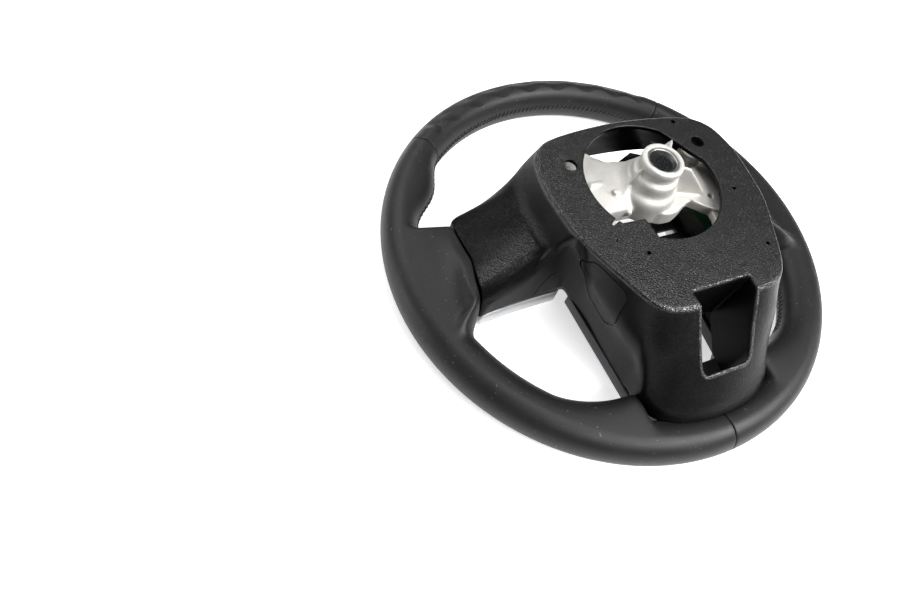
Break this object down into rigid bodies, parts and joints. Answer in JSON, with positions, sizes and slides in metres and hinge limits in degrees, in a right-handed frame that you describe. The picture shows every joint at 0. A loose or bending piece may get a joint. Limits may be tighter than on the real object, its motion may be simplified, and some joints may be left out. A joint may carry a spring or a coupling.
{
  "type": "car steering wheel",
  "caption": "Leather-wrapped car steering wheel with cast armature and hub tower, moulded rear cover with window and slot, silver spoke frames and push switches",
  "frame": {"origin": "on the column axis, in the plane that the rim's front face lies on", "axes": "+Z along the column axis from the driver's side to the column side, +Y to twelve o'clock, +X to the right seen from behind"},
  "size_m": [0.3798, 0.38, 0.11],
  "materials": {
    "cast_aluminium": "as cast",
    "steel": "machined",
    "foam": "moulded foam",
    "leather": "smooth satin leather",
    "cover_plastic": "moulded leather grain",
    "cover_smooth": "fine matte",
    "silver_trim": "silver paint",
    "satin_grey": "satin",
    "switch_plastic": "fine matte",
    "key_plastic": "soft satin",
    "board": "solder mask",
    "bush_plastic": "moulded",
    "spring_wire": "drawn wire",
    "tray_plastic": "moulded"
  },
  "bodies": {
    "wheel": {"armature": "cast_aluminium", "hub_sleeve": "steel", "rim_foam": "foam", "rim_leather_top": "leather", "rim_leather_left": "leather", "rim_leather_right": "leather", "rear_cover": "cover_plastic", "side_lid_left": "cover_smooth", "side_lid_right": "cover_smooth", "spoke_trim_left": "silver_trim", "spoke_trim_right": "silver_trim", "lower_trim": "satin_grey", "switch_pad_left": "switch_plastic", "switch_pad_right": "switch_plastic", "switch_board_left": "board", "switch_board_right": "board", "pin_bush_left": "bush_plastic", "pin_bush_right": "bush_plastic", "pin_bush_lower": "bush_plastic", "lock_spring_left": "spring_wire", "lock_spring_right": "spring_wire", "lock_spring_lower": "spring_wire", "wiring_tray": "tray_plastic", "cover_screws": "steel"},
    "rocker_left": {"rocker_left": "key_plastic"},
    "rocker_right": {"rocker_right": "key_plastic"},
    "button_left_upper": {"button_left_upper": "key_plastic"},
    "button_left_lower": {"button_left_lower": "key_plastic"},
    "button_right_upper": {"button_right_upper": "key_plastic"},
    "button_right_lower": {"button_right_lower": "key_plastic"}
  },
  "joints": [
    {"name": "rocker_left_tilt", "type": "hinge", "parent": "wheel", "child": "rocker_left", "pos_m": [-0.097, 0.003, 0.007], "axis": [1, 0, 0], "range_deg": [-4, 4]},
    {"name": "button_left_upper_press", "type": "slide", "parent": "wheel", "child": "button_left_upper", "axis": [0, 0, 1], "range_m": [0, 0.001]},
    {"name": "button_left_lower_press", "type": "slide", "parent": "wheel", "child": "button_left_lower", "axis": [0, 0, 1], "range_m": [0, 0.001]},
    {"name": "rocker_right_tilt", "type": "hinge", "parent": "wheel", "child": "rocker_right", "pos_m": [0.097, 0.003, 0.007], "axis": [1, 0, 0], "range_deg": [-4, 4]},
    {"name": "button_right_upper_press", "type": "slide", "parent": "wheel", "child": "button_right_upper", "axis": [0, 0, 1], "range_m": [0, 0.001]},
    {"name": "button_right_lower_press", "type": "slide", "parent": "wheel", "child": "button_right_lower", "axis": [0, 0, 1], "range_m": [0, 0.001]}
  ]
}
